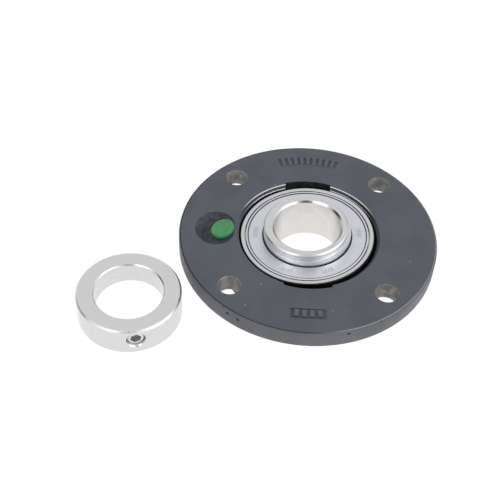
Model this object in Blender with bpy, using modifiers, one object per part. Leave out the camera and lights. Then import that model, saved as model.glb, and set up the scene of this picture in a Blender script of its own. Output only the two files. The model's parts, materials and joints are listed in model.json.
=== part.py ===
"""Round four-bolt flange bearing unit with its loose eccentric locking collar.

The unit lies on the end of its rear spigot, bearing face up, and the collar lies beside it.
Metres, +Z up. The origin is on the resting surface, under the middle of the whole set.
"""

import math

import bmesh
import bpy
from mathutils import Matrix, Vector

# Driving dimensions, in metres unless the name says otherwise.

GAP = 0.0003                    # space kept between pieces that touch on the real unit
MERGE = 0.00001                 # merge distance of the turned shapes

FLANGE_RADIUS = 0.0675
FLANGE_THICKNESS = 0.0100
UNIT_DEPTH = 0.0219             # front face to the end of the spigot
SPIGOT_RADIUS = 0.0450
CAST_EDGE = 0.0009              # rounding of the cast edges
BOLT_CIRCLE_RADIUS = 0.0555
BOLT_HOLE_RADIUS = 0.00575
BOLT_HOLES = 4

SPHERE_RADIUS = 0.0360          # spherical outside of the bearing insert
SPHERE_DEPTH = 0.0096           # centre of the sphere below the front face
SEAT_RADIUS = SPHERE_RADIUS + GAP
SEAT_LIP_DEPTH = 0.0042         # end of the spherical seat below the front face
LAND_RADIUS = 0.0361            # clearance bore in front of the seat
MOUTH_RADIUS = 0.0383           # outer edge of the chamfer round the mouth
MOUTH_DEPTH = 0.0018
REAR_MOUTH_DEPTH = 0.0009
SLOT_WIDTH = 0.0245             # loading slots at +Y and -Y
SLOT_WALL_RADIUS = 0.0390

PLUG_TILT = math.radians(-20.0)  # lean of the grease port, about +Y
PLUG_RADIUS_FROM_AXIS = 0.0444
PORT_FLOOR_DEPTH = 0.0023       # recess floor below the front face, at the plug
PORT_HALF_LENGTH = 0.00925      # recess floor, along the plug's lean
PORT_HALF_WIDTH = 0.0108
PORT_FLARE = 0.50               # widening of the recess over its cutter's height
PORT_CUT_HEIGHT = 0.0100
PORT_HOLE_RADIUS = 0.0035
PORT_HOLE_DEPTH = 0.0058
GREASE_DUCT_RADIUS = 0.0012
PLUG_HEAD_RADIUS = 0.00635
PLUG_HEAD_HEIGHT = 0.0025
PLUG_STEM_RADIUS = 0.0031
PLUG_STEM_LENGTH = 0.0050

INSERT_TILT = math.radians(-2.6)  # rest angle of the insert in its seat, about +Y
OUTER_RING_WIDTH = 0.0170
BALL_RADIUS = 0.005556
BALL_COUNT = 9
PITCH_RADIUS = 0.02675
OUTER_SHOULDER_RADIUS = 0.0302
SEAL_SEAT_RADIUS = 0.0326
SEAL_SEAT_HEIGHT = 0.0061       # seal seat floor, from the insert's middle
RING_CHAMFER = 0.0003
GREASE_HOLE_RADIUS = 0.0006

BORE_RADIUS = 0.0175
INNER_SHOULDER_RADIUS = 0.0229
INNER_RING_FRONT = 0.0151
INNER_RING_REAR = -0.0095
BORE_CHAMFER = 0.0010
CAM_RADIUS = 0.02195            # eccentric seat for the collar
CAM_OFFSET = -0.0008
CAM_START = 0.0107
CAM_CHAMFER = 0.0006

SEAL_OUTER_WASHER = (0.00770, 0.00820)   # lower and upper face, from the insert's middle
SEAL_LIP = (0.00705, 0.00740)
SEAL_INNER_WASHER = (0.00645, 0.00675)
SEAL_RIM_RADIUS = 0.0323
SEAL_RIM_INNER_RADIUS = 0.0309
SEAL_RIM_STAND = 0.0003
WASHER_BORE_RADIUS = 0.0240
LIP_BORE_RADIUS = 0.0232
LIP_EDGE_RADIUS = 0.0237
LIP_EDGE_TOP = 0.0081

CAGE_INNER_RADIUS = 0.0249
CAGE_OUTER_RADIUS = 0.0286
CAGE_BASE = -0.00615
CAGE_CROWN = 0.0026
POCKET_RADIUS = BALL_RADIUS + GAP

COLLAR_CENTRE = (-0.0894, -0.0416)       # from the flange's axis
COLLAR_RADIUS = 0.0265
COLLAR_HEIGHT = 0.0162
COLLAR_CHAMFER = 0.0009
COLLAR_RECESS_DEPTH = 0.0047
COLLAR_RECESS_RADIUS = CAM_RADIUS + GAP
SCREW_ANGLE = math.radians(-76.0)
SCREW_DROP = 0.0060             # screw axis below the collar's upper face
SCREW_RADIUS = 0.0040
SCREW_LENGTH = 0.0070
SCREW_INSET = 0.0012            # outer end of the screw below the collar's outside
SCREW_POINT = 0.0010
SCREW_MOUTH_RADIUS = 0.0050
SOCKET_ACROSS_FLATS = 0.0040
SOCKET_DEPTH = 0.0040

# Facets round each turned piece.
HOUSING_SEGMENTS = 64
RING_SEGMENTS = 48
SEAL_SEGMENTS = 40
CAGE_SEGMENTS = 54
HOLE_SEGMENTS = 20
SMALL_HOLE_SEGMENTS = 8
SMOOTH_ANGLE = math.radians(35.0)

# Places that follow from the dimensions.
AXIS_X = (COLLAR_RADIUS - COLLAR_CENTRE[0] - FLANGE_RADIUS) / 2
AXIS_Y = (COLLAR_RADIUS - COLLAR_CENTRE[1] - FLANGE_RADIUS) / 2
FLANGE_TOP = UNIT_DEPTH
FLANGE_BOTTOM = UNIT_DEPTH - FLANGE_THICKNESS
SPHERE_Z = UNIT_DEPTH - SPHERE_DEPTH
AXIS = Vector((AXIS_X, AXIS_Y, 0.0))
PORT_PLACE = Vector((AXIS_X - PLUG_RADIUS_FROM_AXIS, AXIS_Y, FLANGE_TOP - PORT_FLOOR_DEPTH))
COLLAR_PLACE = AXIS + Vector((COLLAR_CENTRE[0], COLLAR_CENTRE[1], 0.0))

for leftover in list(bpy.data.objects):
    bpy.data.objects.remove(leftover, do_unlink=True)

PARTS = bpy.data.collections.new("flange_mount_bearing")
CUTTERS = bpy.data.collections.new("cutters")
bpy.context.scene.collection.children.link(PARTS)
bpy.context.scene.collection.children.link(CUTTERS)


def make_material(name, colour, roughness, metallic):
    """A plain Principled material in linear colour."""
    material = bpy.data.materials.new(name)
    material.use_nodes = True
    shader = material.node_tree.nodes["Principled BSDF"]
    shader.inputs["Base Color"].default_value = (*colour, 1.0)
    shader.inputs["Roughness"].default_value = roughness
    shader.inputs["Metallic"].default_value = metallic
    material.diffuse_color = (*colour, 1.0)
    return material


CAST_IRON = make_material("painted_cast_iron", (0.110, 0.120, 0.145), 0.55, 0.0)
RING_STEEL = make_material("ground_bearing_steel", (0.62, 0.62, 0.61), 0.28, 1.0)
BALL_STEEL = make_material("polished_ball_steel", (0.70, 0.70, 0.71), 0.10, 1.0)
ZINC_STEEL = make_material("zinc_plated_steel", (0.66, 0.68, 0.72), 0.32, 1.0)
TURNED_STEEL = make_material("turned_plated_steel", (0.68, 0.68, 0.67), 0.30, 1.0)
SCREW_STEEL = make_material("plated_screw_steel", (0.45, 0.45, 0.44), 0.35, 1.0)
SEAL_RUBBER = make_material("black_seal_rubber", (0.018, 0.018, 0.020), 0.70, 0.0)
CAGE_PLASTIC = make_material("natural_polyamide", (0.62, 0.58, 0.48), 0.50, 0.0)
GREEN_PLASTIC = make_material("green_polyethylene", (0.070, 0.300, 0.120), 0.40, 0.0)


def new_object(name, mesh, collection):
    """A named object that holds the mesh, in the collection."""
    obj = bpy.data.objects.new(name, mesh)
    collection.objects.link(obj)
    return obj


def turned(name, outline, segments, collection=PARTS, closed=True):
    """A turned solid about its local Z, from an outline of (radius, height) points.

    The outline runs down the outer side. A closed outline leaves a bore, an open one starts and
    ends on the axis.
    """
    mesh = bpy.data.meshes.new(name)
    count = len(outline)
    edges = [(index, (index + 1) % count) for index in range(count if closed else count - 1)]
    mesh.from_pydata([(radius, 0.0, height) for radius, height in outline], edges, [])
    obj = new_object(name, mesh, collection)
    screw = obj.modifiers.new("turn", "SCREW")
    screw.axis = "Z"
    screw.angle = math.tau
    screw.steps = segments
    screw.render_steps = segments
    screw.use_merge_vertices = True
    screw.merge_threshold = MERGE
    return obj


def primitive_object(name, collection, create, **settings):
    """An object whose mesh is one bmesh primitive."""
    mesh = bpy.data.meshes.new(name)
    shape = bmesh.new()
    create(shape, **settings)
    shape.to_mesh(mesh)
    shape.free()
    return new_object(name, mesh, collection)


def cutter_rod(name, radius, start, end, segments, end_radius=None):
    """A cutting rod, or a cone, from the start point to the end point."""
    along = end - start
    turn = Vector((0.0, 0.0, 1.0)).rotation_difference(along).to_matrix().to_4x4()
    place = Matrix.Translation((start + end) / 2) @ turn
    return primitive_object(
        name, CUTTERS, bmesh.ops.create_cone, cap_ends=True, segments=segments,
        radius1=radius, radius2=radius if end_radius is None else end_radius,
        depth=along.length, matrix=place)


def cutter_box(name, size, centre):
    """A cutting box of the given size."""
    place = Matrix.Translation(centre) @ Matrix.Diagonal((*size, 1.0))
    return primitive_object(name, CUTTERS, bmesh.ops.create_cube, size=1.0, matrix=place)


def boolean(obj, cutter, operation="DIFFERENCE"):
    """Cut the object, or keep only what it shares with the cutter."""
    modifier = obj.modifiers.new(cutter.name, "BOOLEAN")
    modifier.operation = operation
    modifier.solver = "EXACT"
    modifier.object = cutter
    cutter.hide_render = True
    cutter.display_type = "WIRE"


def arc(centre, radius, start, end, steps):
    """Points on a circle in the outline's plane, from the start angle to the end angle."""
    angles = [start + (end - start) * step / steps for step in range(steps + 1)]
    return [(centre[0] + radius * math.cos(angle), centre[1] + radius * math.sin(angle))
            for angle in angles]


def finish(obj, material):
    """Settle the modifiers into the mesh, shade the round faces smooth and give the material."""
    bpy.context.view_layer.update()
    evaluated = obj.evaluated_get(bpy.context.evaluated_depsgraph_get())
    mesh = bpy.data.meshes.new_from_object(evaluated)
    mesh.name = obj.name
    obj.modifiers.clear()
    obj.data = mesh
    mesh.materials.clear()
    mesh.materials.append(material)
    mesh.shade_smooth()
    mesh.set_sharp_from_angle(angle=SMOOTH_ANGLE)


def rounded_rim(radius, top, bottom, edge):
    """The outer side of a cast disc, with both edges rounded."""
    upper = arc((radius - edge, top - edge), edge, math.pi / 2, 0.0, 2)
    lower = arc((radius - edge, bottom + edge), edge, 0.0, -math.pi / 2, 2)
    return upper + lower


def loading_slot_cutter():
    """The two slots through which the insert is turned into its seat."""
    slots = cutter_rod(
        "loading_slots", SLOT_WALL_RADIUS, AXIS + Vector((0.0, 0.0, SPHERE_Z - 2 * GAP)),
        AXIS + Vector((0.0, 0.0, FLANGE_TOP + SPHERE_DEPTH)), HOUSING_SEGMENTS)
    band = cutter_box(
        "loading_slot_band", (SLOT_WIDTH, 3 * SLOT_WALL_RADIUS, 3 * UNIT_DEPTH),
        AXIS + Vector((0.0, 0.0, SPHERE_Z)))
    boolean(slots, band, "INTERSECT")
    return slots


def grease_port_cutters():
    """The leaning oval recess, the plug's hole and the duct from the hole to the seat."""
    lean = Matrix.Rotation(PLUG_TILT, 4, "Y")
    frame = Matrix.Translation(PORT_PLACE) @ lean
    oval = Matrix.Diagonal((PORT_HALF_LENGTH, PORT_HALF_WIDTH, 1.0, 1.0))
    lift = Matrix.Translation((0.0, 0.0, PORT_CUT_HEIGHT / 2))
    recess = primitive_object(
        "port_recess", CUTTERS, bmesh.ops.create_cone, cap_ends=True, segments=36,
        radius1=1.0, radius2=1.0 + PORT_FLARE, depth=PORT_CUT_HEIGHT,
        matrix=frame @ oval @ lift)
    hole_end = frame @ Vector((0.0, 0.0, -PORT_HOLE_DEPTH))
    hole = cutter_rod(
        "port_hole", PORT_HOLE_RADIUS, hole_end, frame @ Vector((0.0, 0.0, PORT_FLOOR_DEPTH)),
        HOLE_SEGMENTS)
    duct_start = frame @ Vector((0.0, 0.0, PORT_HOLE_RADIUS / 2 - PORT_HOLE_DEPTH))
    duct_end = AXIS + Vector((PORT_HOLE_RADIUS - SPHERE_RADIUS, 0.0, SPHERE_Z - PORT_FLOOR_DEPTH))
    duct = cutter_rod(
        "grease_duct", GREASE_DUCT_RADIUS, duct_start, duct_end, SMALL_HOLE_SEGMENTS)
    return [recess, hole, duct]


def flange_housing():
    """The cast flange: disc, rear spigot, spherical seat, slots, bolt holes and grease port."""
    top_angle = math.asin((SPHERE_DEPTH - SEAT_LIP_DEPTH) / SEAT_RADIUS)
    rear_angle = -math.asin((SPHERE_Z - REAR_MOUTH_DEPTH) / SEAT_RADIUS)
    seat = arc((0.0, SPHERE_Z), SEAT_RADIUS, rear_angle, top_angle, 6)
    outline = rounded_rim(FLANGE_RADIUS, FLANGE_TOP, FLANGE_BOTTOM, CAST_EDGE)
    outline += [
        (SPIGOT_RADIUS, FLANGE_BOTTOM),
        (SPIGOT_RADIUS, CAST_EDGE),
        (SPIGOT_RADIUS - CAST_EDGE, 0.0),
        (seat[0][0] + REAR_MOUTH_DEPTH, 0.0),
    ]
    outline += seat
    outline += [(LAND_RADIUS, FLANGE_TOP - MOUTH_DEPTH), (MOUTH_RADIUS, FLANGE_TOP)]
    housing = turned("flange_housing", outline, HOUSING_SEGMENTS)
    housing.location = AXIS
    boolean(housing, loading_slot_cutter())
    for index in range(BOLT_HOLES):
        angle = math.tau * (index + 0.5) / BOLT_HOLES
        place = AXIS + BOLT_CIRCLE_RADIUS * Vector((math.cos(angle), math.sin(angle), 0.0))
        hole = cutter_rod(
            f"bolt_hole_{index + 1}", BOLT_HOLE_RADIUS, place,
            place + Vector((0.0, 0.0, 2 * UNIT_DEPTH)), HOLE_SEGMENTS)
        boolean(housing, hole)
    for cutter in grease_port_cutters():
        boolean(housing, cutter)
    finish(housing, CAST_IRON)


def grease_port_plug():
    """The push-in plug that closes the grease port."""
    edge = PLUG_HEAD_HEIGHT / 3
    head = arc(
        (PLUG_HEAD_RADIUS - edge, GAP + PLUG_HEAD_HEIGHT - edge), edge, math.pi / 2, 0.0, 3)
    outline = [(0.0, GAP + PLUG_HEAD_HEIGHT)] + head + [
        (PLUG_HEAD_RADIUS, GAP),
        (PLUG_STEM_RADIUS, GAP),
        (PLUG_STEM_RADIUS, edge - PLUG_STEM_LENGTH),
        (PLUG_STEM_RADIUS - edge, -PLUG_STEM_LENGTH),
        (0.0, -PLUG_STEM_LENGTH),
    ]
    plug = turned("grease_port_plug", outline, 32, closed=False)
    plug.location = PORT_PLACE
    plug.rotation_euler = (0.0, PLUG_TILT, 0.0)
    finish(plug, GREEN_PLASTIC)


def outer_ring(centre):
    """The outer ring, with its spherical outside, raceway and seal seats."""
    half = OUTER_RING_WIDTH / 2
    side_angle = math.asin((half - RING_CHAMFER) / SPHERE_RADIUS)
    outside = arc((0.0, 0.0), SPHERE_RADIUS, side_angle, -side_angle, 6)
    groove_radius = BALL_RADIUS + GAP
    groove_angle = math.acos((OUTER_SHOULDER_RADIUS - PITCH_RADIUS) / groove_radius)
    groove = arc((PITCH_RADIUS, 0.0), groove_radius, -groove_angle, groove_angle, 6)
    face_edge = outside[0][0] - RING_CHAMFER
    outline = [(face_edge, half)] + outside + [
        (face_edge, -half),
        (SEAL_SEAT_RADIUS, -half),
        (SEAL_SEAT_RADIUS, -SEAL_SEAT_HEIGHT),
        (OUTER_SHOULDER_RADIUS, -SEAL_SEAT_HEIGHT),
    ] + groove + [
        (OUTER_SHOULDER_RADIUS, SEAL_SEAT_HEIGHT),
        (SEAL_SEAT_RADIUS, SEAL_SEAT_HEIGHT),
        (SEAL_SEAT_RADIUS, half),
    ]
    ring = turned("outer_ring", outline, RING_SEGMENTS)
    ring.parent = centre
    shoulder_z = -(groove[-1][1] + SEAL_SEAT_HEIGHT) / 2
    hole = cutter_rod(
        "ring_grease_hole", GREASE_HOLE_RADIUS,
        Vector((-OUTER_SHOULDER_RADIUS + GREASE_HOLE_RADIUS, 0.0, shoulder_z)),
        Vector((-SPHERE_RADIUS - GREASE_HOLE_RADIUS, 0.0, shoulder_z)), SMALL_HOLE_SEGMENTS)
    hole.parent = centre
    boolean(ring, hole)
    finish(ring, RING_STEEL)


def inner_ring(centre):
    """The inner ring, with its raceway, chamfered bore and eccentric seat at the front."""
    groove_radius = BALL_RADIUS + GAP
    groove_angle = math.acos((PITCH_RADIUS - INNER_SHOULDER_RADIUS) / groove_radius)
    groove = arc(
        (PITCH_RADIUS, 0.0), groove_radius, math.pi - groove_angle, math.pi + groove_angle, 6)
    outline = [(INNER_SHOULDER_RADIUS, INNER_RING_FRONT)] + groove + [
        (INNER_SHOULDER_RADIUS, INNER_RING_REAR + CAM_CHAMFER),
        (INNER_SHOULDER_RADIUS - CAM_CHAMFER, INNER_RING_REAR),
        (BORE_RADIUS + BORE_CHAMFER, INNER_RING_REAR),
        (BORE_RADIUS, INNER_RING_REAR + BORE_CHAMFER),
        (BORE_RADIUS, INNER_RING_FRONT - BORE_CHAMFER),
        (BORE_RADIUS + BORE_CHAMFER, INNER_RING_FRONT),
    ]
    ring = turned("inner_ring", outline, RING_SEGMENTS)
    ring.parent = centre
    far = 2 * INNER_SHOULDER_RADIUS
    above = INNER_RING_FRONT + CAM_CHAMFER
    cam_outline = [
        (far, above),
        (far, CAM_START),
        (CAM_RADIUS, CAM_START),
        (CAM_RADIUS, INNER_RING_FRONT - CAM_CHAMFER),
        (CAM_RADIUS - 2 * CAM_CHAMFER, above),
    ]
    cam_cut = turned("cam_cut", cam_outline, RING_SEGMENTS, CUTTERS)
    cam_cut.parent = centre
    cam_cut.location.x = CAM_OFFSET
    boolean(ring, cam_cut)
    finish(ring, RING_STEEL)


def seal_set(side, direction, centre):
    """One side's seal: steel washer with a rolled rim, rubber lip and backing washer."""
    outlines = {
        "outer_washer": [
            (SEAL_RIM_RADIUS, SEAL_OUTER_WASHER[1] + SEAL_RIM_STAND),
            (SEAL_RIM_RADIUS, SEAL_OUTER_WASHER[0]),
            (WASHER_BORE_RADIUS, SEAL_OUTER_WASHER[0]),
            (WASHER_BORE_RADIUS, SEAL_OUTER_WASHER[1]),
            (SEAL_RIM_INNER_RADIUS, SEAL_OUTER_WASHER[1]),
            (SEAL_RIM_INNER_RADIUS + SEAL_RIM_STAND, SEAL_OUTER_WASHER[1] + SEAL_RIM_STAND),
        ],
        "lip": [
            (LIP_EDGE_RADIUS, LIP_EDGE_TOP),
            (LIP_EDGE_RADIUS, SEAL_LIP[1]),
            (SEAL_RIM_RADIUS, SEAL_LIP[1]),
            (SEAL_RIM_RADIUS, SEAL_LIP[0]),
            (LIP_BORE_RADIUS, SEAL_LIP[0]),
            (LIP_BORE_RADIUS, LIP_EDGE_TOP),
        ],
        "inner_washer": [
            (SEAL_RIM_RADIUS, SEAL_INNER_WASHER[1]),
            (SEAL_RIM_RADIUS, SEAL_INNER_WASHER[0]),
            (WASHER_BORE_RADIUS, SEAL_INNER_WASHER[0]),
            (WASHER_BORE_RADIUS, SEAL_INNER_WASHER[1]),
        ],
    }
    for piece, outline in outlines.items():
        if direction < 0:
            outline = [(radius, -height) for radius, height in reversed(outline)]
        seal = turned(f"{side}_seal_{piece}", outline, SEAL_SEGMENTS)
        seal.parent = centre
        finish(seal, SEAL_RUBBER if piece == "lip" else ZINC_STEEL)


def balls_and_cage(centre):
    """The balls on their pitch circle, and the crown cage that keeps them apart."""
    outline = [
        (CAGE_OUTER_RADIUS, CAGE_CROWN),
        (CAGE_OUTER_RADIUS, CAGE_BASE),
        (CAGE_INNER_RADIUS, CAGE_BASE),
        (CAGE_INNER_RADIUS, CAGE_CROWN),
    ]
    cage = turned("ball_cage", outline, CAGE_SEGMENTS)
    cage.parent = centre
    for index in range(BALL_COUNT):
        angle = math.tau * index / BALL_COUNT
        place = PITCH_RADIUS * Vector((math.cos(angle), math.sin(angle), 0.0))
        ball = primitive_object(
            f"ball_{index + 1}", PARTS, bmesh.ops.create_uvsphere,
            u_segments=14, v_segments=9, radius=BALL_RADIUS)
        ball.parent = centre
        ball.location = place
        finish(ball, BALL_STEEL)
        pocket = primitive_object(
            f"ball_pocket_{index + 1}", CUTTERS, bmesh.ops.create_uvsphere,
            u_segments=14, v_segments=9, radius=POCKET_RADIUS)
        pocket.parent = centre
        pocket.location = place
        boolean(cage, pocket)
    finish(cage, CAGE_PLASTIC)


def locking_collar():
    """The loose eccentric collar, plain face up, with its eccentric recess underneath."""
    outline = [
        (COLLAR_RADIUS - COLLAR_CHAMFER, COLLAR_HEIGHT),
        (COLLAR_RADIUS, COLLAR_HEIGHT - COLLAR_CHAMFER),
        (COLLAR_RADIUS, COLLAR_CHAMFER),
        (COLLAR_RADIUS - COLLAR_CHAMFER, 0.0),
        (BORE_RADIUS, 0.0),
        (BORE_RADIUS, COLLAR_HEIGHT - COLLAR_CHAMFER),
        (BORE_RADIUS + COLLAR_CHAMFER, COLLAR_HEIGHT),
    ]
    collar = turned("locking_collar", outline, RING_SEGMENTS)
    collar.location = COLLAR_PLACE
    recess_place = COLLAR_PLACE + Vector((CAM_OFFSET, 0.0, 0.0))
    recess = cutter_rod(
        "collar_recess", COLLAR_RECESS_RADIUS, recess_place - Vector((0.0, 0.0, COLLAR_HEIGHT)),
        recess_place + Vector((0.0, 0.0, COLLAR_RECESS_DEPTH)), RING_SEGMENTS)
    outward = Vector((math.cos(SCREW_ANGLE), math.sin(SCREW_ANGLE), 0.0))
    level = COLLAR_PLACE + Vector((0.0, 0.0, COLLAR_HEIGHT - SCREW_DROP))
    hole = cutter_rod(
        "screw_hole", SCREW_RADIUS + GAP, level + outward * BORE_RADIUS / 2,
        level + outward * 2 * COLLAR_RADIUS, HOLE_SEGMENTS)
    mouth = cutter_rod(
        "screw_mouth", SCREW_RADIUS, level + outward * (COLLAR_RADIUS - SCREW_INSET),
        level + outward * (COLLAR_RADIUS + SCREW_INSET), HOLE_SEGMENTS,
        2 * SCREW_MOUTH_RADIUS - SCREW_RADIUS)
    for cutter in (recess, hole, mouth):
        boolean(collar, cutter)
    finish(collar, TURNED_STEEL)


def collar_set_screw():
    """The hexagon socket set screw in the collar; its local +Z points out of the collar."""
    outline = [
        (0.0, 0.0),
        (SCREW_RADIUS - SCREW_POINT / 2, 0.0),
        (SCREW_RADIUS, -SCREW_POINT / 2),
        (SCREW_RADIUS, SCREW_POINT - SCREW_LENGTH),
        (SCREW_RADIUS - SCREW_POINT, -SCREW_LENGTH),
        (0.0, -SCREW_LENGTH),
    ]
    screw = turned("collar_set_screw", outline, HOLE_SEGMENTS, closed=False)
    outward = Vector((math.cos(SCREW_ANGLE), math.sin(SCREW_ANGLE), 0.0))
    level = COLLAR_PLACE + Vector((0.0, 0.0, COLLAR_HEIGHT - SCREW_DROP))
    screw.location = level + outward * (COLLAR_RADIUS - SCREW_INSET)
    screw.rotation_euler = (0.0, math.pi / 2, SCREW_ANGLE)
    socket_radius = SOCKET_ACROSS_FLATS / math.sqrt(3)
    socket = cutter_rod(
        "screw_socket", socket_radius, Vector((0.0, 0.0, -SOCKET_DEPTH)),
        Vector((0.0, 0.0, SOCKET_DEPTH)), 6)
    socket.parent = screw
    boolean(screw, socket)
    finish(screw, SCREW_STEEL)


insert_centre = new_object("insert_centre", None, PARTS)
insert_centre.location = AXIS + Vector((0.0, 0.0, SPHERE_Z))
insert_centre.rotation_euler = (0.0, INSERT_TILT, 0.0)

flange_housing()
grease_port_plug()
outer_ring(insert_centre)
inner_ring(insert_centre)
seal_set("front", 1, insert_centre)
seal_set("rear", -1, insert_centre)
balls_and_cage(insert_centre)
locking_collar()
collar_set_screw()
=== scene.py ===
"""Looks of the flange mount bearing and its loose locking collar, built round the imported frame."""

import json
import math
import random

import bmesh
import bpy
from mathutils import Matrix, Vector


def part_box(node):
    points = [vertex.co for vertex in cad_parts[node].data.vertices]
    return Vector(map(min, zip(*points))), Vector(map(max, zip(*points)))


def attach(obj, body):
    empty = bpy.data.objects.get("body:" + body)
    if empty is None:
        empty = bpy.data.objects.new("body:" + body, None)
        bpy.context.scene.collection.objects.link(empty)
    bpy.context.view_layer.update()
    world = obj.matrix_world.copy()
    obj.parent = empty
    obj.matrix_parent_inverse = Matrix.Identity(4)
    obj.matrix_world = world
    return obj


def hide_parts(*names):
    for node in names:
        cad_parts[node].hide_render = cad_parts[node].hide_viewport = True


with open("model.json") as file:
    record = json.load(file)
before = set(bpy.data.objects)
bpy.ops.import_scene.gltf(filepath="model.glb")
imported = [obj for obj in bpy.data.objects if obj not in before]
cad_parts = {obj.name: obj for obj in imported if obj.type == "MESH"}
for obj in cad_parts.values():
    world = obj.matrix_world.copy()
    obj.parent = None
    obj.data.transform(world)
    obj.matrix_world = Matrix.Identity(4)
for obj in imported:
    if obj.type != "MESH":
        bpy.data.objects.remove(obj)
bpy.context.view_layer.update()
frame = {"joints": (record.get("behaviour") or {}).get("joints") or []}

MM = 0.001                      # outlines below are in millimetres

# Places that come from the frame.
JOINTS = {joint["name"]: joint for joint in frame["joints"]}
HOUSING_LOW, HOUSING_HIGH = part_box("flange_housing")
COLLAR_LOW, COLLAR_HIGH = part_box("locking_collar")
AXIS = Vector(((HOUSING_LOW.x + HOUSING_HIGH.x) / 2, (HOUSING_LOW.y + HOUSING_HIGH.y) / 2, 0.0))
FLANGE_TOP = HOUSING_HIGH.z
COLLAR_AXIS = Vector(((COLLAR_LOW.x + COLLAR_HIGH.x) / 2, (COLLAR_LOW.y + COLLAR_HIGH.y) / 2, 0.0))
INSERT_CENTRE = Vector(JOINTS["inner_ring_spin"]["pos_m"])
INSERT_AXIS = Vector(JOINTS["inner_ring_spin"]["axis"])
PLUG_AXIS = Vector(JOINTS["plug_pull"]["axis"])
SCREW_AXIS = Vector(JOINTS["set_screw_travel"]["axis"])

# Sizes of the unit, in millimetres.
CLEARANCE = 0.3                 # air between moving pieces
FLANGE_R = 67.5
TOP = FLANGE_TOP / MM
BACK = TOP - 10.0
SPIGOT_R = 45.0
SPHERE_R = 36.0
SEAT_R = SPHERE_R + CLEARANCE
SEAT_LIP_DEPTH = 4.2            # end of the spherical seat under the front face
SPHERE_UP = INSERT_CENTRE.z / MM
BOLT_CIRCLE_R = 55.5
BOLT_HOLE_R = 5.75
SLOT_WIDTH = 24.5
SLOT_WALL_R = 39.0
PORT_R = 44.4                   # grease port's distance from the flange's axis
PORT_DEPTH = 2.0                # recess floor under the front face, at the plug
RECESS_SHIFT = -1.4             # middle of the recess floor from the plug, along the lean
RECESS_HALF = (8.8, 10.4)       # half of the recess floor, along and across the lean
RECESS_FLARE = 0.05             # its widening for each millimetre of height
PLUG_HOLE_R = 3.5
BALL_R = 5.556
PITCH_R = 26.75
BALLS = 9
BORE_R = 17.5
RACE_SHOULDER_R = 30.2          # outer ring's bore beside the track
SEAL_SEAT_R = 32.8
RING_HALF_WIDTH = 8.5
WASHER_FACE = 8.12              # front of the seal washer, from the insert's middle
SHOULDER_R = 22.9
RING_FRONT = 15.1
CAM_R = 21.95
CAM_START = 10.7
CAM_SHIFT = -0.8
COLLAR_R = 26.5
COLLAR_H = 16.2
SCREW_R = 4.6
SCREW_DROP = 6.4
SCREW_INSET = 1.2
SCREW_LENGTH = 7.0
SCREW_POINT_R = 3.6
SCREW_BEVEL = 0.9

# Plain marks: bars and pads on the flange, bars in the washer.
BARS = 9
BAR_RADIUS = 55.6
BAR_TURN = 0.062                # radians from one bar to the next
PADS = 4
PAD_RADIUS = 55.0
PAD_TURN = 0.070
STAMP_TURN = 0.058
STAMPS = (                      # degrees round the axis, distance from it, number of bars
    (178.0, 27.2, 5), (-112.0, 27.4, 4), (-68.0, 27.4, 4), (4.0, 27.2, 4))

# Wear: degrees round the axis, then the distance from it or the depth, and the size.
EDGE_CHIPS = (
    (-58.0, 67.7, 0.9), (-12.0, 67.6, 0.7), (151.0, 67.5, 0.8), (98.0, 67.6, 0.7),
    (-128.0, 67.7, 0.8))
SIDE_PITS = ((-125.5, 3.0, 1.25), (-120.5, 3.5, 1.15), (-73.0, 1.9, 1.1))

# Camera.
CAMERA_ELEVATION = math.radians(46.94)
CAMERA_ROLL = math.radians(2.94)
CAMERA_OFFSET = Vector((-0.0299, -0.3654, 0.3753))     # from the middle of the front face
CAMERA_LENS = 72.0

random.seed(7)


# ---------------------------------------------------------------- node helpers


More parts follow.
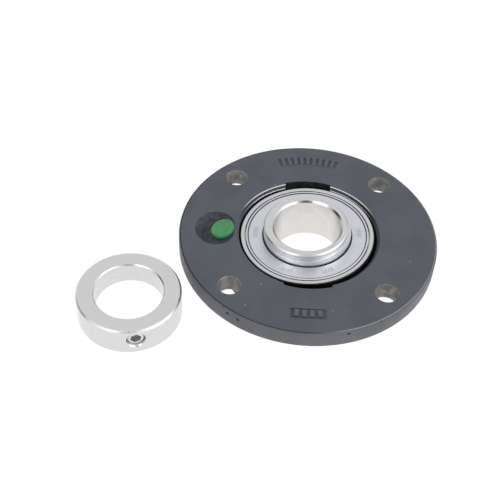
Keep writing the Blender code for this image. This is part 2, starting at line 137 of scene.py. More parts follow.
class Nodes:
    """A short way to build a material's node tree."""

    def __init__(self, name):
        self.material = bpy.data.materials.new(name)
        self.material.use_nodes = True
        self.tree = self.material.node_tree
        self.shader = self.tree.nodes["Principled BSDF"]
        self.coords = self.tree.nodes.new("ShaderNodeTexCoord").outputs["Object"]

    def add(self, kind, **settings):
        node = self.tree.nodes.new("ShaderNode" + kind)
        for key, value in settings.items():
            setattr(node, key, value)
        return node

    def plug(self, node, socket, value):
        if isinstance(value, bpy.types.NodeSocket):
            self.tree.links.new(value, node.inputs[socket])
        else:
            node.inputs[socket].default_value = value

    def math(self, operation, first, second=0.0):
        node = self.add("Math", operation=operation)
        self.plug(node, 0, first)
        self.plug(node, 1, second)
        return node.outputs[0]

    def noise(self, size_mm, detail=3.0, roughness=0.55, distortion=0.0):
        """Noise whose features are about size_mm across."""
        node = self.add("TexNoise")
        self.plug(node, "Vector", self.coords)
        self.plug(node, "Scale", 1.0 / (size_mm * MM))
        self.plug(node, "Detail", detail)
        self.plug(node, "Roughness", roughness)
        self.plug(node, "Distortion", distortion)
        return node.outputs["Fac"]

    def cells(self, size_mm):
        """Distance from the nearest of many scattered points about size_mm apart."""
        node = self.add("TexVoronoi")
        self.plug(node, "Vector", self.coords)
        self.plug(node, "Scale", 1.0 / (size_mm * MM))
        return node.outputs["Distance"]

    def ramp(self, value, low, high, to_low=0.0, to_high=1.0):
        """The value mapped smoothly from low..high to to_low..to_high."""
        node = self.add("MapRange", interpolation_type="SMOOTHSTEP")
        for socket, number in zip(("Value", "From Min", "From Max", "To Min", "To Max"),
                                  (value, low, high, to_low, to_high)):
            self.plug(node, socket, number)
        return node.outputs["Result"]

    def mix(self, factor, first, second):
        """A colour between two colours."""
        node = self.add("Mix", data_type="RGBA")
        self.plug(node, 0, factor)
        for socket, colour in ((6, first), (7, second)):
            linked = isinstance(colour, bpy.types.NodeSocket)
            self.plug(node, socket, colour if linked else (*colour, 1.0))
        return node.outputs[2]

    def bump(self, height, depth_mm, normal=None):
        node = self.add("Bump")
        self.plug(node, "Height", height)
        self.plug(node, "Distance", depth_mm * MM)
        self.plug(node, "Strength", 1.0)
        if normal is not None:
            self.plug(node, "Normal", normal)
        return node.outputs["Normal"]

    def lathe_marks(self, pitch_mm):
        """Fine rings that a turning or grinding tool leaves round the local Z axis."""
        split = self.add("SeparateXYZ")
        self.plug(split, 0, self.coords)
        flat = self.add("CombineXYZ")
        self.plug(flat, 0, split.outputs[0])
        self.plug(flat, 1, split.outputs[1])
        length = self.add("VectorMath", operation="LENGTH")
        self.plug(length, 0, flat.outputs[0])
        along = self.math("MULTIPLY_ADD", split.outputs[2], 0.93)
        self.plug(along.node, 2, length.outputs["Value"])
        rings = self.add("TexNoise", noise_dimensions="1D")
        self.plug(rings, "W", along)
        self.plug(rings, "Scale", 1.0 / (pitch_mm * MM))
        self.plug(rings, "Detail", 2.0)
        return rings.outputs["Fac"]

    def finish(self, colour, roughness, normal=None, metallic=0.0, **uniform):
        self.plug(self.shader, "Base Color", colour)
        self.plug(self.shader, "Roughness", roughness)
        self.plug(self.shader, "Metallic", metallic)
        if normal is not None:
            self.plug(self.shader, "Normal", normal)
        for socket, value in uniform.items():
            self.shader.inputs[socket.replace("_", " ")].default_value = value
        return self.material


# ---------------------------------------------------------------- materials


def paint(name, dark, light, grain_mm, grain_depth_mm, tone_mm=22.0):
    """Satin enamel over rough cast iron."""
    n = Nodes(name)
    tone = n.noise(tone_mm, 2.0)
    speck = n.noise(0.55, 2.0)
    colour = n.mix(n.ramp(tone, 0.35, 0.65), dark, light)
    worn = tuple(channel * 1.35 for channel in light)
    colour = n.mix(n.ramp(speck, 0.62, 0.80), colour, worn)
    chips = n.ramp(n.cells(9.0), 0.035, 0.050, 0.75, 0.0)
    colour = n.mix(chips, colour, (0.30, 0.27, 0.26))
    pits = n.ramp(n.cells(2.6), 0.0, 0.16)
    skin = n.noise(grain_mm, 5.0, 0.6)
    swell = n.noise(9.0, 2.0)
    normal = n.bump(swell, 0.10)
    normal = n.bump(skin, grain_depth_mm, normal)
    normal = n.bump(pits, 0.03, normal)
    roughness = n.ramp(skin, 0.3, 0.7, 0.42, 0.56)
    return n.finish(colour, roughness, normal, Specular_IOR_Level=0.42)


def painted_light_edge(name, low, high, axis, start, end, roughness):
    """An edge coloured from low to high along one axis: painted shade or a painted highlight, with a
    ragged border.
    """
    n = Nodes(name)
    split = n.add("SeparateXYZ")
    n.plug(split, 0, n.coords)
    ragged_border = n.noise(2.2, 3.0)
    shift = n.math("MULTIPLY_ADD", ragged_border, 8.0 * MM)
    n.plug(shift.node, 2, split.outputs[axis])
    colour = n.mix(n.ramp(shift, start * MM, end * MM), low, high)
    return n.finish(colour, roughness, n.bump(n.noise(0.8, 3.0), 0.02), Specular_IOR_Level=0.5)


def worn_iron():
    """Bare, lightly rusted walls of the drilled bolt holes."""
    n = Nodes("worn_iron")
    patches = n.noise(3.6, 2.0, 0.5)
    colour = n.mix(n.ramp(patches, 0.40, 0.62), (0.190, 0.174, 0.172), (0.290, 0.274, 0.270))
    colour = n.mix(n.ramp(n.noise(1.8, 2.0), 0.62, 0.78), colour, (0.17, 0.130, 0.112))
    normal = n.bump(n.noise(1.2, 2.0), 0.03)
    return n.finish(colour, n.ramp(patches, 0.3, 0.7, 0.62, 0.42), normal, 0.25)


def steel(name, colour, roughness, marks_mm, marks_depth_mm, blotch=0.05, painted_shade_sides=None):
    """Turned, ground or rolled steel with fine tool rings and faint handling blotches.

    The optional pair of distances in millimetres is where a painted shade begins and ends,
    darkening both sides along the local X axis.
    """
    n = Nodes(name)
    rings = n.lathe_marks(marks_mm)
    blotches = n.noise(6.0, 3.0, 0.6, distortion=0.6)
    low = tuple(channel * (1.0 - blotch) for channel in colour)
    base = n.mix(n.ramp(blotches, 0.35, 0.68), colour, low)
    base = n.mix(n.ramp(rings, 0.30, 0.75, 0.0, 0.30), base, tuple(0.90 * c for c in colour))
    # Painted shade: darker towards both sides along the local X axis.
    if painted_shade_sides:
        split = n.add("SeparateXYZ")
        n.plug(split, 0, n.coords)
        aside = n.math("ABSOLUTE", split.outputs[0])
        shade = n.ramp(aside, painted_shade_sides[0] * MM, painted_shade_sides[1] * MM)
        base = n.mix(shade, base, tuple(0.68 * c for c in colour))
    normal = n.bump(rings, marks_depth_mm)
    rough = n.ramp(blotches, 0.3, 0.7, roughness * 0.85, roughness * 1.2)
    return n.finish(base, rough, normal, 1.0)


def seat_shade_material():
    """Near-black colour inside the seat and the loading slots: painted shade where these deep gaps fall
    dark.
    """
    n = Nodes("seat_and_slot_painted_shade")
    mottle = n.noise(3.0, 3.0)
    colour = n.mix(n.ramp(mottle, 0.35, 0.7), (0.013, 0.014, 0.017), (0.026, 0.028, 0.033))
    normal = n.bump(n.noise(0.6, 3.0), 0.03)
    return n.finish(colour, n.ramp(mottle, 0.3, 0.7, 0.40, 0.62), normal)


def plastic(name, colour, roughness, glow):
    """Moulded plastic with a faint grain and a little light passing through it."""
    n = Nodes(name)
    cloud = n.noise(4.0, 2.0)
    base = n.mix(n.ramp(cloud, 0.3, 0.7), colour, tuple(channel * 0.86 for channel in colour))
    normal = n.bump(n.noise(0.45, 3.0), 0.012)
    return n.finish(
        base, n.ramp(cloud, 0.3, 0.7, roughness * 0.9, roughness * 1.15), normal,
        Subsurface_Weight=glow, Subsurface_Scale=0.002)


def rubber():
    """Black nitrile rubber."""
    n = Nodes("seal_rubber_look")
    bloom = n.noise(2.5, 3.0)
    colour = n.mix(n.ramp(bloom, 0.4, 0.7), (0.012, 0.012, 0.014), (0.024, 0.024, 0.026))
    return n.finish(colour, n.ramp(bloom, 0.3, 0.7, 0.55, 0.75), n.bump(n.noise(0.3, 2.0), 0.01))


PAINT = paint("flange_enamel", (0.056, 0.062, 0.077), (0.068, 0.074, 0.091), 0.75, 0.05)
# Flange's outer side: enamel with a coarser grain, painted lighter than the front face as painted
# light.
RIM_PAINT_LIT = paint("rim_enamel_painted_light", (0.078, 0.081, 0.091), (0.098, 0.101, 0.112), 1.6, 0.16)
MARK_PAINT = paint("mark_enamel", (0.070, 0.075, 0.090), (0.088, 0.093, 0.110), 0.8, 0.05)
# Sunken fields round the cast marks: darker enamel as painted shade.
MARK_GROUND_SHADE = paint("mark_ground_painted_shade", (0.034, 0.036, 0.043), (0.046, 0.049, 0.057), 0.8, 0.06)
# Grease-port recess and chips: mottled enamel with a coarse grain, darker as painted shade in these
# hollows.
RECESS_SHADE_PAINT = paint("recess_enamel_painted_shade", (0.029, 0.029, 0.039), (0.056, 0.056, 0.072), 1.1, 0.45, 2.6)
# Seat mouth chamfer: enamel towards -Y, darkening to near black towards +Y as painted shade.
MOUTH_SHADE_PAINT = painted_light_edge(
    "mouth_enamel_painted_shade", (0.054, 0.059, 0.072), (0.010, 0.011, 0.013), 1, 8.0, 22.0, 0.45)
# Seat mouth land and outer edge: enamel towards -Y, turning bright towards +Y as a painted highlight.
MOUTH_EDGE_HIGHLIGHT = painted_light_edge(
    "mouth_edge_painted_highlight", (0.060, 0.064, 0.074), (0.66, 0.67, 0.68), 1, 16.0, 30.0, 0.34)
# Groove at the front face's outer edge: near black as painted shade, turning light grey towards +X as a
# painted highlight.
RIM_CREASE_SHADE_HIGHLIGHT = painted_light_edge("rim_crease_painted_shade_and_highlight", (0.018, 0.019, 0.022), (0.24, 0.25, 0.28), 0, 4.0, 26.0, 0.45)
WORN = worn_iron()
MACHINED = steel("machined_edge", (0.78, 0.78, 0.79), 0.30, 0.30, 0.001)
# Seat and loading slots: near-black painted shade with a mottled tone.
SEAT_SHADE = seat_shade_material()
RING_STEEL = steel("ground_ring", (0.68, 0.685, 0.69), 0.35, 1.0, 0.0004, blotch=0.03)
# Inner ring bore: ground steel with painted shade on both sides along X.
BORE_STEEL_SIDE_SHADE = steel(
    "ground_bore_painted_side_shade", (0.755, 0.735, 0.71), 0.30, 1.0, 0.0003, blotch=0.02, painted_shade_sides=(12.5, 18.0))
BEVEL_STEEL = steel("polished_bevel", (0.57, 0.575, 0.58), 0.21, 1.0, 0.0004, blotch=0.02)
FACE_STEEL = steel("ground_face", (0.65, 0.655, 0.67), 0.30, 0.55, 0.004, blotch=0.03)
# Outer ring's spherical outside in the seat gap: near-black steel as painted shade.
RING_OUTSIDE_SHADE = steel("ring_outside_painted_shade", (0.045, 0.045, 0.048), 0.45, 0.50, 0.0005)
WASHER_STEEL = steel("zinc_washer", (0.69, 0.70, 0.75), 0.42, 1.1, 0.0006, blotch=0.05)
BALL_STEEL = steel("polished_ball", (0.74, 0.74, 0.75), 0.10, 0.40, 0.0004)
STAMPED = steel("stamped_marks", (0.56, 0.565, 0.60), 0.40, 0.50, 0.0008, blotch=0.10)
COLLAR_STEEL = steel("turned_collar", (0.705, 0.705, 0.71), 0.27, 1.2, 0.0004, blotch=0.02)
COLLAR_EDGE = steel("collar_edge", (0.72, 0.72, 0.725), 0.40, 1.2, 0.0004, blotch=0.02)
SCREW_STEEL = steel("plated_screw", (0.72, 0.72, 0.71), 0.34, 0.50, 0.002)
# Inside of the hex socket: darker steel as painted shade in the pocket.
SOCKET_SHADE_STEEL = steel("socket_inside_painted_shade", (0.52, 0.52, 0.51), 0.50, 0.60, 0.002)
# Washers' rolled-rim groove: dark grey steel as painted shade in the crease.
GROOVE_SHADE_STEEL = steel("washer_groove_painted_shade", (0.17, 0.17, 0.17), 0.50, 0.60, 0.002)
RUBBER = rubber()
GREEN = plastic("green_plug", (0.042, 0.245, 0.088), 0.30, 0.15)
CAGE_PLASTIC = plastic("cage_polyamide_look", (0.62, 0.58, 0.47), 0.45, 0.10)


# ---------------------------------------------------------------- mesh helpers


def rounded(points, steps=4):
    """Outline with its corners rounded. A point is (radius, height, rounding, material slot)."""
    result = []
    count = len(points)
    for index, (radius, height, rounding, slot) in enumerate(points):
        here = Vector((radius, height))
        before = Vector(points[index - 1][:2]) - here
        after = Vector(points[(index + 1) % count][:2]) - here
        if rounding <= 0.0 or min(before.length, after.length) < 1e-6:
            result.append((radius, height, slot))
            continue
        half = before.angle(after) / 2
        reach = min(rounding / math.tan(half), 0.48 * min(before.length, after.length))
        size = reach * math.tan(half)
        middle = (before.normalized() + after.normalized()).normalized()
        centre = here + middle * (size / math.sin(half))
        start = here + before.normalized() * reach - centre
        turn = start.angle_signed(here + after.normalized() * reach - centre)
        for step in range(steps + 1):
            angle = -turn * step / steps
            spot = centre + Matrix.Rotation(angle, 2) @ start
            result.append((spot.x, spot.y, points[index - 1][3] if step < steps / 2 else slot))
    return result


def arc(centre, radius, start, end, steps, slot=0):
    """Outline points on a circle, from the start angle to the end angle."""
    across, up = centre
    angles = [start + (end - start) * step / steps for step in range(steps + 1)]
    return [(across + radius * math.cos(a), up + radius * math.sin(a), 0.0, slot) for a in angles]


def new_object(name, mesh, materials=()):
    obj = bpy.data.objects.new(name, mesh)
    bpy.context.scene.collection.objects.link(obj)
    for material in materials:
        mesh.materials.append(material)
    return obj


def lathe(name, points, materials, segments=160, closed=True, steps=4):
    """A turned piece about its local Z, from an outline in millimetres, down the outer side."""
    outline = rounded(points, steps)
    mesh = bpy.data.meshes.new(name)
    shape = bmesh.new()
    rings = []
    for radius, height, _ in outline:
        if radius < 1e-6:
            rings.append([shape.verts.new((0.0, 0.0, height * MM))] * segments)
            continue
        turn = math.tau / segments
        rings.append([
            shape.verts.new((
                radius * MM * math.cos(turn * s), radius * MM * math.sin(turn * s), height * MM))
            for s in range(segments)])
    last = len(outline) if closed else len(outline) - 1
    for index in range(last):
        upper, lower = rings[index], rings[(index + 1) % len(outline)]
        for s in range(segments):
            t = (s + 1) % segments
            corners = list(dict.fromkeys((upper[s], lower[s], lower[t], upper[t])))
            if len(corners) > 2:
                face = shape.faces.new(corners)
                face.material_index = outline[index][2]
    shape.to_mesh(mesh)
    shape.free()
    return new_object(name, mesh, materials)


def settle(obj, sharp_degrees=30.0):
    """Apply the modifiers, shade smooth and keep the sharp edges."""
    bpy.context.view_layer.update()
    cutters = [m.object for m in obj.modifiers if m.type == "BOOLEAN"]
    evaluated = obj.evaluated_get(bpy.context.evaluated_depsgraph_get())
    mesh = bpy.data.meshes.new_from_object(evaluated)
    obj.modifiers.clear()
    obj.data = mesh
    mesh.shade_smooth()
    mesh.set_sharp_from_angle(angle=math.radians(sharp_degrees))
    for cutter in cutters:
        bpy.data.objects.remove(cutter, do_unlink=True)
    return obj


def cut(obj, cutter, operation="DIFFERENCE"):
    modifier = obj.modifiers.new(cutter.name, "BOOLEAN")
    modifier.operation = operation
    modifier.solver = "EXACT"
    modifier.material_mode = "TRANSFER"
    modifier.object = cutter


def soften(obj, width_mm, segments=2, angle=38.0):
    """Round the edges that the cuts left."""
    bevel = obj.modifiers.new("soften", "BEVEL")
    bevel.width = width_mm * MM
    bevel.segments = segments
    bevel.limit_method = "ANGLE"
    bevel.angle_limit = math.radians(angle)
    bevel.use_clamp_overlap = True


def place(obj, matrix, body, slot, *nodes):
    """Put the piece in the frame, on its body, in place of its CAD nodes."""
    obj.matrix_world = matrix
    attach(obj, body)
    if nodes:
        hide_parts(*nodes)
    return obj


def aligned(origin, axis):
    """A frame at the origin whose Z lies along the axis."""
    turn = Vector((0.0, 0.0, 1.0)).rotation_difference(axis).to_matrix().to_4x4()
    return Matrix.Translation(origin) @ turn


INSERT = Matrix.Translation(INSERT_CENTRE) @ Matrix.Rotation(
    math.atan2(INSERT_AXIS.x, INSERT_AXIS.z), 4, "Y")
UNIT = Matrix.Translation(AXIS)
PORT = aligned(AXIS + Vector((-PORT_R * MM, 0.0, FLANGE_TOP - PORT_DEPTH * MM)), PLUG_AXIS)
COLLAR = Matrix.Translation(COLLAR_AXIS)


# ---------------------------------------------------------------- flange housing


def hole_cutter(name, radius, low, high, flare, material):
    """A rod along Z that opens out at both faces of the flange."""
    mouth = flare * 3
    points = [
        (radius + mouth, high + mouth, 0.0, 0), (radius + flare, high + 0.02, 0.0, 0),
        (radius, high - flare, flare, 0), (radius, low + flare, flare, 0),
        (radius + flare, low - 0.02, 0.0, 0), (radius + mouth, low - mouth, 0.0, 0),
    ]
    ends = [(0.0, high + mouth, 0.0, 0)] + points + [(0.0, low - mouth, 0.0, 0)]
    return lathe(name, ends, [material], 48, closed=False, steps=3)


def slot_cutter():
    """The two loading slots, as one cutter."""
    points = [
        (0.0, TOP + 6.0, 0.0, 0), (SLOT_WALL_R, TOP + 6.0, 0.0, 0),
        (SLOT_WALL_R, SPHERE_UP - 0.6, 1.2, 0), (0.0, SPHERE_UP - 0.6, 0.0, 0),
    ]
    # The slot walls take the near-black painted shade.
    slots = lathe("slots", points, [SEAT_SHADE], 192, closed=False)
    mesh = bpy.data.meshes.new("band")
    shape = bmesh.new()
    size = Matrix.Diagonal((SLOT_WIDTH * MM, 3 * SLOT_WALL_R * MM, 4 * TOP * MM, 1.0))
    bmesh.ops.create_cube(shape, size=1.0, matrix=size)
    shape.to_mesh(mesh)
    shape.free()
    band = new_object("band", mesh, [SEAT_SHADE])
    cut(slots, band, "INTERSECT")
    return settle(slots)


def port_cutters():
    """The leaning oval recess and the plug's hole, in the port's frame."""
    height = 11.0
    unit = 10.0                 # radius of the round shape before it is stretched
    outline = [
        (0.0, height, 0.0, 0), (unit * (1.0 + height * RECESS_FLARE), height, 0.0, 0),
        (unit, 0.0, 1.2, 0), (0.0, 0.0, 0.0, 0)]
    # The recess takes the darker enamel, painted shade in the hollow.
    recess = lathe("port_recess", outline, [RECESS_SHADE_PAINT], 96, closed=False, steps=6)
    stretch = Matrix.Diagonal((RECESS_HALF[0] / unit, RECESS_HALF[1] / unit, 1.0, 1.0))
    recess.data.transform(Matrix.Translation((RECESS_SHIFT * MM, 0.0, 0.0)) @ stretch)
    recess.matrix_world = UNIT.inverted() @ PORT
    hole = lathe("port_hole", [
        (0.0, 4.0, 0.0, 0), (PLUG_HOLE_R, 4.0, 0.0, 0), (PLUG_HOLE_R, -5.8, 0.0, 0),
        (0.0, -6.8, 0.0, 0)],
        [WORN], 32, closed=False)
    hole.matrix_world = UNIT.inverted() @ PORT
    return [recess, hole]


def chip_cutter(index, angle, radius, height, size):
    """A small rough chip in the casting's edge."""
    mesh = bpy.data.meshes.new(f"chip_{index}")
    shape = bmesh.new()
    bmesh.ops.create_icosphere(shape, subdivisions=2, radius=size * MM)
    for vert in shape.verts:
        vert.co *= random.uniform(0.72, 1.15)
    shape.to_mesh(mesh)
    shape.free()
    # Chips take the darker enamel, painted shade in the dent.
    chip = new_object(f"chip_{index}", mesh, [RECESS_SHADE_PAINT])
    chip.location = (radius * MM * math.cos(angle), radius * MM * math.sin(angle), height * MM)
    chip.scale = (1.0, 1.0, 0.7)
    return chip


def housing():
    rear = -math.asin((SPHERE_UP - 0.9) / SEAT_R)
    front = math.asin((TOP - SEAT_LIP_DEPTH - SPHERE_UP) / SEAT_R)
    # The seat's, rim groove's, mouth chamfer's, mouth edges' and outer side's slots carry painted shade
    # or painted light.
    materials = [PAINT, SEAT_SHADE, MACHINED, RIM_CREASE_SHADE_HIGHLIGHT, MOUTH_SHADE_PAINT, MOUTH_EDGE_HIGHLIGHT, RIM_PAINT_LIT]
    enamel, shaded_seat, bare, crease, chamfer, edge, side = range(len(materials))
    points = [
        (66.5, TOP, 0.15, crease), (66.7, TOP - 0.5, 0.05, crease), (66.95, TOP - 0.15, 0.2, side),
        (FLANGE_R, TOP - 0.8, 0.5, side), (FLANGE_R, BACK, 0.9, enamel),
        (SPIGOT_R, BACK, 1.6, enamel), (SPIGOT_R, 0.0, 0.9, bare), (35.4, 0.0, 0.0, bare),
    ]
    points += arc((0.0, SPHERE_UP), SEAT_R, rear, front, 16, shaded_seat)
    points += [
        (36.35, TOP - 1.75, 0.0, edge), (36.6, TOP - 1.5, 0.05, chamfer),
        (37.6, TOP - 0.25, 0.1, edge), (38.0, TOP, 0.12, enamel)]
    body = lathe("flange_casting", points, materials, 224)
    cut(body, slot_cutter())
    for index in range(4):
        angle = math.tau * (index + 0.5) / 4
        hole = hole_cutter(f"bolt_hole_{index}", BOLT_HOLE_R, BACK, TOP, 0.25, WORN)
        hole.location = (
            BOLT_CIRCLE_R * MM * math.cos(angle), BOLT_CIRCLE_R * MM * math.sin(angle), 0.0)
        cut(body, hole)
    for cutter in port_cutters():
        cut(body, cutter)
    for index, (degrees, radius, size) in enumerate(EDGE_CHIPS):
        cut(body, chip_cutter(index, math.radians(degrees), radius, TOP - 0.3, size))
    for index, (degrees, depth, size) in enumerate(SIDE_PITS, len(EDGE_CHIPS)):
        cut(body, chip_cutter(index, math.radians(degrees), FLANGE_R + 0.2, TOP - depth, size))
    for cutter in mark_pockets():
        cut(body, cutter)
    settle(body)
    place(body, UNIT, "housing", "painted_cast_iron", "flange_housing")


def around(angle, radius):
    """A place on the front face, turned so that its local Y points outwards."""
    spin = Matrix.Rotation(angle - math.pi / 2, 4, "Z")
    return spin @ Matrix.Translation((0.0, radius * MM, FLANGE_TOP))


def block(name, width, depth, height, material):
    """A plain block, half of it above its local origin."""
    mesh = bpy.data.meshes.new(name)
    shape = bmesh.new()
    size = Matrix.Diagonal((width * MM, depth * MM, 2 * height * MM, 1.0))
    bmesh.ops.create_cube(shape, size=1.0, matrix=size)
    shape.to_mesh(mesh)
    shape.free()
    return new_object(name, mesh, [material])


def mark_pockets():
    """Shallow sunken fields round the cast marks, in enamel painted darker as shade."""
    pockets = []
    for index in range(BARS + 1):
        pocket = block(f"bar_pocket_{index}", 1.35, 5.6, 0.32, MARK_GROUND_SHADE)
        pocket.matrix_world = around(math.pi / 2 + (BARS / 2 - index) * BAR_TURN, BAR_RADIUS)
        pockets.append(pocket)
    field = block("pad_field", 17.6, 6.2, 0.35, MARK_GROUND_SHADE)
    field.matrix_world = around(-math.pi / 2, PAD_RADIUS)
    return pockets + [field]


def cast_marks():
    """Plain raised bars and pads where such castings carry foundry marks."""
    def raised(name, width, depth, height, angle, radius):
        obj = block(name, width, depth, height, MARK_PAINT)
        soften(obj, 0.25, 3)
        settle(obj)
        place(obj, UNIT @ around(angle, radius), "housing", "painted_cast_iron")

    for index in range(BARS):
        angle = math.pi / 2 + ((BARS - 1) / 2 - index) * BAR_TURN
        raised(f"cast_bar_{index + 1}", 1.5, 5.4, 0.40, angle, BAR_RADIUS)
    for index in range(PADS):
        angle = -math.pi / 2 + ((PADS - 1) / 2 - index) * PAD_TURN
        raised(f"cast_pad_{index + 1}", 2.3, 4.2, 0.36, angle, PAD_RADIUS)


# ---------------------------------------------------------------- bearing insert


def outer_ring():
    half = RING_HALF_WIDTH
    side = math.asin((half - 0.35) / SPHERE_R)
    groove = math.acos((RACE_SHOULDER_R - PITCH_R) / (BALL_R + CLEARANCE))
    # The outside slot's near-black steel is painted shade for the seat gap.
    ground, face, outside = range(3)
    points = [(34.65, half, 0.0, outside)]
    points += arc((0.0, 0.0), SPHERE_R, side, -side, 20, outside)
    points += [
        (34.65, -half, 0.0, face), (SEAL_SEAT_R, -half, 0.15, ground),
        (SEAL_SEAT_R, -6.1, 0.0, ground), (RACE_SHOULDER_R, -6.1, 0.2, ground)]
    points += arc((PITCH_R, 0.0), BALL_R + CLEARANCE, -groove, groove, 14)
    points += [
        (RACE_SHOULDER_R, 6.1, 0.2, ground), (SEAL_SEAT_R, 6.1, 0.0, ground),
        (SEAL_SEAT_R, half, 0.2, face)]
    ring = settle(lathe("outer_ring_ground", points, [RING_STEEL, FACE_STEEL, RING_OUTSIDE_SHADE], 192))
    place(ring, INSERT, "insert", "ground_ring_steel", "outer_ring")


def inner_ring():
    groove = math.acos((PITCH_R - SHOULDER_R) / (BALL_R + CLEARANCE))
    points = [(SHOULDER_R, RING_FRONT, 0.0, 0)]
    points += arc((PITCH_R, 0.0), BALL_R + CLEARANCE, math.pi - groove, math.pi + groove, 14)
    points += [
        (SHOULDER_R, -8.9, 0.2, 0), (22.3, -9.5, 0.2, 0), (18.4, -9.5, 0.15, 0), (BORE_R, -8.6, 0.3, 1),
        (BORE_R, RING_FRONT - 1.0, 0.3, 2), (18.5, RING_FRONT, 0.15, 0)]
    ring = lathe("inner_ring_ground", points, [RING_STEEL, BORE_STEEL_SIDE_SHADE, BEVEL_STEEL], 192)
    cam = [
        (40.0, RING_FRONT + 2.0, 0.0, 0), (40.0, CAM_START, 0.0, 0), (CAM_R, CAM_START, 0.25, 0),
        (CAM_R, RING_FRONT - 0.7, 0.25, 0), (CAM_R - 0.7, RING_FRONT + 0.05, 0.0, 0),
        (CAM_R - 2.0, RING_FRONT + 2.0, 0.0, 0)]
    cutter = lathe("cam_cut", cam, [RING_STEEL], 192)
    cutter.location.x = CAM_SHIFT * MM
    cut(ring, cutter)
    settle(ring)
    place(ring, INSERT, "inner_ring", "ground_ring_steel", "inner_ring")


def washer_stamps():
    """Shallow plain bars where such washers carry stamped marks."""
    stamps = []
    for degrees, radius, count in STAMPS:
        for index in range(count):
            stamp = block(f"stamp_{int(degrees)}_{index}", 0.75, 2.3, 0.10, STAMPED)
            angle = math.radians(degrees) + (index - (count - 1) / 2) * STAMP_TURN
            spin = Matrix.Rotation(angle - math.pi / 2, 4, "Z")
            stamp.matrix_world = spin @ Matrix.Translation((0.0, radius * MM, WASHER_FACE * MM))
            stamps.append(stamp)
    return stamps


def seals():
    top = RING_HALF_WIDTH
    # In these outlines, slot 1 marks the rolled-rim groove, coloured dark as painted shade.
    washer = [
        (32.2, top, 0.25, 0), (32.2, 7.7, 0.1, 0), (23.6, 7.7, 0.1, 0), (23.6, WASHER_FACE, 0.12, 0),
        (30.3, WASHER_FACE, 0.1, 0), (30.45, 8.16, 0.05, 0), (30.7, 8.16, 0.05, 1),
        (30.75, 7.86, 0.02, 1), (31.0, 7.86, 0.02, 1), (31.25, top, 0.25, 0),
    ]
    lip = [
        (23.5, 7.95, 0.1, 0), (23.5, 7.4, 0.05, 0), (32.25, 7.4, 0.05, 0), (32.25, 7.05, 0.05, 0),
        (23.6, 7.05, 0.2, 0), (23.1, 7.5, 0.1, 0), (23.1, 7.95, 0.12, 0),
    ]
    backing = [
        (32.25, 6.75, 0.08, 0), (32.25, 6.45, 0.08, 0), (24.0, 6.45, 0.08, 0),
        (24.0, 6.75, 0.08, 0)]
    pieces = (
        ("outer_washer", washer, WASHER_STEEL, "zinc_seal_steel"),
        ("lip", lip, RUBBER, "seal_rubber"),
        ("inner_washer", backing, WASHER_STEEL, "zinc_seal_steel"))
    for side, direction in (("front", 1), ("rear", -1)):
        for piece, points, material, slot in pieces:
            if direction < 0:
                flipped = [(r, -z, rounding, s) for r, z, rounding, s in points]
                points = [
                    (*point[:3], flipped[index - 1][3]) for index, point in enumerate(flipped)]
                points.reverse()
            node = f"{side}_seal_{piece}"
            ring = lathe(f"{node}_formed", points, [material, GROOVE_SHADE_STEEL], 160)
            if node == "front_seal_outer_washer":
                for stamp in washer_stamps():
                    cut(ring, stamp)
            place(settle(ring), INSERT, "insert", slot, node)


def balls_and_cage():
    cage = lathe("cage_moulded", [
        (28.6, 2.6, 0.3, 0), (28.6, -6.15, 0.3, 0), (24.9, -6.15, 0.3, 0), (24.9, 2.6, 0.3, 0)],
        [CAGE_PLASTIC], 144)
    for index in range(BALLS):
        angle = math.tau * index / BALLS
        spot = Vector((math.cos(angle), math.sin(angle), 0.0)) * PITCH_R * MM
        for role, radius in (("ball_polished", BALL_R), ("pocket", BALL_R + 0.25)):
            mesh = bpy.data.meshes.new(role)
            shape = bmesh.new()
            bmesh.ops.create_icosphere(shape, subdivisions=4, radius=radius * MM)
            shape.to_mesh(mesh)
            shape.free()
            ball = new_object(f"{role}_{index + 1}", mesh, [BALL_STEEL])
            if role == "pocket":
                ball.data.materials[0] = CAGE_PLASTIC
                ball.location = spot
                cut(cage, ball)
            else:
                settle(ball)
                node = f"ball_{index + 1}"
                place(ball, INSERT @ Matrix.Translation(spot), node, "polished_ball_steel", node)
    settle(cage)
    place(cage, INSERT, "cage", "cage_polyamide", "ball_cage")


# ---------------------------------------------------------------- grease plug


def grease_plug():
    points = [
        (0.0, 2.5, 0.0, 0), (4.7, 2.5, 0.4, 0), (5.1, 2.8, 0.3, 0), (5.75, 2.8, 0.5, 0),
        (6.35, 2.1, 0.5, 0), (6.35, 0.3, 0.25, 0), (3.1, 0.3, 0.2, 0),
        (3.1, -4.2, 0.3, 0), (2.3, -5.0, 0.3, 0), (0.0, -5.0, 0.0, 0)]
    plug = settle(lathe("grease_plug_moulded", points, [GREEN], 96, closed=False))
    place(plug, PORT, "plug", "green_plug_plastic", "grease_port_plug")


# ---------------------------------------------------------------- locking collar


def hexagon_cutter(name, across_flats, depth, material):
    """A six-sided pocket that opens upwards at the local origin."""
    mesh = bpy.data.meshes.new(name)
    shape = bmesh.new()
    radius = across_flats / math.sqrt(3) * MM
    bmesh.ops.create_cone(
        shape, cap_ends=True, segments=6, radius1=radius, radius2=radius, depth=2 * depth * MM)
    shape.to_mesh(mesh)
    shape.free()
    return new_object(name, mesh, [material])


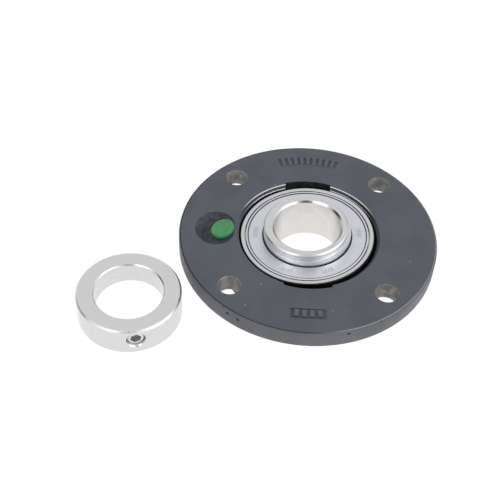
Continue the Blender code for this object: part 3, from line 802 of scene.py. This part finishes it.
def collar():
    bevel = 0.9
    points = [
        (COLLAR_R, COLLAR_H - bevel, 0.15, 0),
        *((COLLAR_R, height, 0.0, 0) for height in range(15, 1, -1)),
        (COLLAR_R, bevel, 0.15, 0), (COLLAR_R - bevel, 0.0, 0.15, 0),
        (BORE_R, 0.0, 0.0, 0), (BORE_R, COLLAR_H - 0.6, 0.3, 0), (BORE_R + 0.6, COLLAR_H, 0.1, 0),
        (COLLAR_R - bevel, COLLAR_H, 0.1, 1)]
    ring = lathe("collar_turned", points, [COLLAR_STEEL, COLLAR_EDGE], 224)
    recess_r = CAM_R + CLEARANCE
    recess = lathe("collar_recess", [
        (0.0, 4.4, 0.0, 0), (recess_r, 4.4, 0.4, 0), (recess_r, -3.0, 0.0, 0), (0.0, -3.0, 0.0, 0)],
        [COLLAR_STEEL], 160, closed=False)
    recess.location.x = CAM_SHIFT * MM
    cut(ring, recess)
    mouth = COLLAR_R - 0.7
    hole = lathe("screw_hole", [
        (0.0, 34.0, 0.0, 0), (12.4, 34.0, 0.0, 0), (5.15, COLLAR_R - 0.1, 0.0, 0),
        (SCREW_R + 0.12, mouth, 0.1, 0), (SCREW_R + 0.12, 8.0, 0.0, 0), (0.0, 8.0, 0.0, 0)],
        [COLLAR_STEEL], 64, closed=False)
    hole.matrix_world = aligned(Vector((0.0, 0.0, (COLLAR_H - SCREW_DROP) * MM)), SCREW_AXIS)
    cut(ring, hole)
    settle(ring)
    place(ring, COLLAR, "collar", "turned_collar_steel", "locking_collar")


def set_screw():
    end = -SCREW_LENGTH
    points = [
        (0.0, 0.0, 0.0, 0), (SCREW_POINT_R, 0.0, 0.1, 0), (SCREW_R, -SCREW_BEVEL, 0.1, 0),
        (SCREW_R, end + SCREW_BEVEL, 0.1, 0), (SCREW_POINT_R, end, 0.1, 0),
        (SCREW_POINT_R - 1.0, end, 0.1, 0), (0.0, end + SCREW_BEVEL, 0.0, 0)]
    screw = lathe("set_screw_turned", points, [SCREW_STEEL], 64, closed=False)
    cut(screw, hexagon_cutter("socket", 5.0, 3.0, SOCKET_SHADE_STEEL))
    settle(screw)
    spot = COLLAR_AXIS + Vector((0.0, 0.0, (COLLAR_H - SCREW_DROP) * MM))
    spot += SCREW_AXIS * (COLLAR_R - SCREW_INSET) * MM
    place(screw, aligned(spot, SCREW_AXIS), "set_screw", "set_screw_steel", "collar_set_screw")


# ---------------------------------------------------------------- stage, light and camera


def floor():
    """A plain pale light table."""
    mesh = bpy.data.meshes.new("floor")
    shape = bmesh.new()
    bmesh.ops.create_grid(shape, x_segments=1, y_segments=1, size=6.0)
    shape.to_mesh(mesh)
    shape.free()
    n = Nodes("pale_floor")
    tone = n.noise(400.0, 1.0)
    colour = n.mix(tone, (0.06, 0.06, 0.06), (0.07, 0.07, 0.07))
    n.finish(colour, 0.9, Specular_IOR_Level=0.0)
    n.shader.inputs["Emission Color"].default_value = (1.0, 1.0, 1.0, 1.0)
    n.shader.inputs["Emission Strength"].default_value = 0.97
    new_object("floor", mesh, [n.material])


def studio():
    """A bright tent, darker round the lens and low on the left, brighter low on the right."""
    world = bpy.data.worlds.new("studio")
    bpy.context.scene.world = world
    world.use_nodes = True
    tree = world.node_tree
    background = tree.nodes["Background"]
    coords = tree.nodes.new("ShaderNodeTexCoord").outputs["Generated"]

    def patch(direction, inner, outer, level):
        """1 away from the direction, falling smoothly to level inside the inner angle."""
        dot = tree.nodes.new("ShaderNodeVectorMath")
        dot.operation = "DOT_PRODUCT"
        tree.links.new(coords, dot.inputs[0])
        dot.inputs[1].default_value = Vector(direction).normalized()
        ease = tree.nodes.new("ShaderNodeMapRange")
        ease.interpolation_type = "SMOOTHSTEP"
        tree.links.new(dot.outputs["Value"], ease.inputs["Value"])
        ease.inputs["From Min"].default_value = math.cos(math.radians(outer))
        ease.inputs["From Max"].default_value = math.cos(math.radians(inner))
        ease.inputs["To Min"].default_value = 1.0
        ease.inputs["To Max"].default_value = level
        return ease.outputs["Result"]

    patches = [
        patch((0.02, -0.69, 0.72), 11.0, 22.0, 0.12),
        patch((-0.95, 0.15, 0.30), 9.0, 24.0, 0.05),
        patch((0.0, 0.70, 0.70), 25.0, 60.0, 0.86),
        patch((0.85, -0.45, 0.20), 15.0, 60.0, 1.45),
        patch((-0.80, -0.45, 0.10), 15.0, 60.0, 0.85),
    ]
    level = patches[0]
    for other in patches[1:]:
        product = tree.nodes.new("ShaderNodeMath")
        product.operation = "MULTIPLY"
        tree.links.new(level, product.inputs[0])
        tree.links.new(other, product.inputs[1])
        level = product.outputs[0]
    path = tree.nodes.new("ShaderNodeLightPath")
    seen = tree.nodes.new("ShaderNodeMix")
    tree.links.new(path.outputs["Is Camera Ray"], seen.inputs[0])
    tree.links.new(level, seen.inputs[2])
    seen.inputs[3].default_value = 1.1
    tree.links.new(seen.outputs[0], background.inputs["Strength"])
    background.inputs["Color"].default_value = (1.0, 1.0, 1.0, 1.0)


def soft_light(name, offset, size, power):
    data = bpy.data.lights.new(name, "AREA")
    data.shape = "SQUARE"
    data.size = size
    data.energy = power
    light = bpy.data.objects.new(name, data)
    bpy.context.scene.collection.objects.link(light)
    light.location = AXIS + Vector(offset)
    light.rotation_euler = (-Vector(offset)).to_track_quat("-Z", "Y").to_euler()
    light.visible_camera = False


def camera():
    data = bpy.data.cameras.new("camera")
    data.sensor_width = 36.0
    data.lens = CAMERA_LENS
    data.clip_start = 0.01
    obj = bpy.data.objects.new("camera", data)
    bpy.context.scene.collection.objects.link(obj)
    pitch = Matrix.Rotation(math.pi / 2 - CAMERA_ELEVATION, 4, "X")
    roll = Matrix.Rotation(CAMERA_ROLL, 4, "Z")
    spot = AXIS + Vector((0.0, 0.0, FLANGE_TOP)) + CAMERA_OFFSET
    obj.matrix_world = Matrix.Translation(spot) @ pitch @ roll
    bpy.context.scene.camera = obj


housing()
cast_marks()
outer_ring()
inner_ring()
seals()
balls_and_cage()
grease_plug()
collar()
set_screw()
floor()
studio()
soft_light("key", (-0.35, -0.35, 0.55), 0.45, 1.2)
soft_light("fill", (0.50, -0.25, 0.45), 0.45, 0.8)
camera()
bpy.context.scene.view_settings.view_transform = "Standard"
